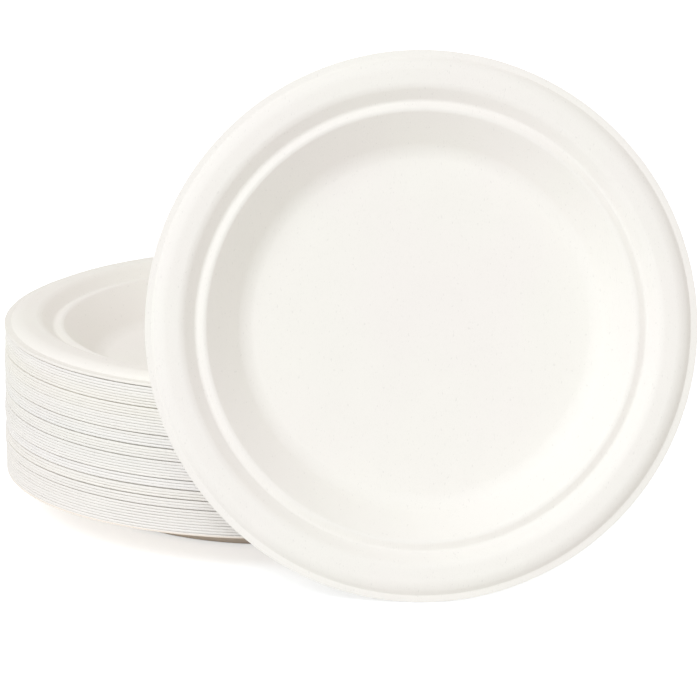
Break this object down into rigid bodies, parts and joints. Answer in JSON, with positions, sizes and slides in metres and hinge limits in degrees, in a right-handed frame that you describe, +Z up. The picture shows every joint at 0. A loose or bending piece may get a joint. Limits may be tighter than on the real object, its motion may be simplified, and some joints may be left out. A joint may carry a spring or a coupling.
{
  "type": "stack of bagasse plates",
  "caption": "Stack of nested round moulded pulp plates with raised rims, and a plate of the same set leaning upright against its edge.",
  "frame": {"origin": "centre of the lowest plate's foot, on the table", "axes": "+Z up along the stack, -Y towards the side where the leaning plate stands, +X to the right as seen from there"},
  "size_m": [0.2926, 0.2701, 0.2204],
  "materials": {
    "pulp": "matt, unbleached fibre"
  },
  "bodies": {
    "root": {"plate_01": "pulp", "plate_02": "pulp", "plate_03": "pulp", "plate_04": "pulp", "plate_05": "pulp", "plate_06": "pulp", "plate_07": "pulp", "plate_08": "pulp", "plate_09": "pulp", "plate_10": "pulp", "plate_11": "pulp", "plate_12": "pulp", "plate_13": "pulp", "plate_14": "pulp", "plate_15": "pulp", "plate_16": "pulp", "plate_17": "pulp", "plate_18": "pulp", "plate_19": "pulp", "plate_20": "pulp", "plate_21": "pulp", "plate_22": "pulp", "plate_23": "pulp", "plate_24": "pulp", "plate_25": "pulp", "plate_26": "pulp", "plate_27": "pulp", "plate_28": "pulp", "plate_29": "pulp", "plate_30": "pulp", "plate_31": "pulp", "plate_32": "pulp", "plate_33": "pulp", "plate_34": "pulp", "plate_35": "pulp", "plate_36": "pulp", "plate_37": "pulp", "plate_38": "pulp", "plate_39": "pulp", "plate_40": "pulp", "plate_41": "pulp", "plate_42": "pulp", "plate_43": "pulp", "plate_44": "pulp", "plate_45": "pulp", "plate_46": "pulp", "plate_47": "pulp", "plate_48": "pulp", "plate_49": "pulp", "leaning_plate": "pulp"}
  },
  "joints": []
}
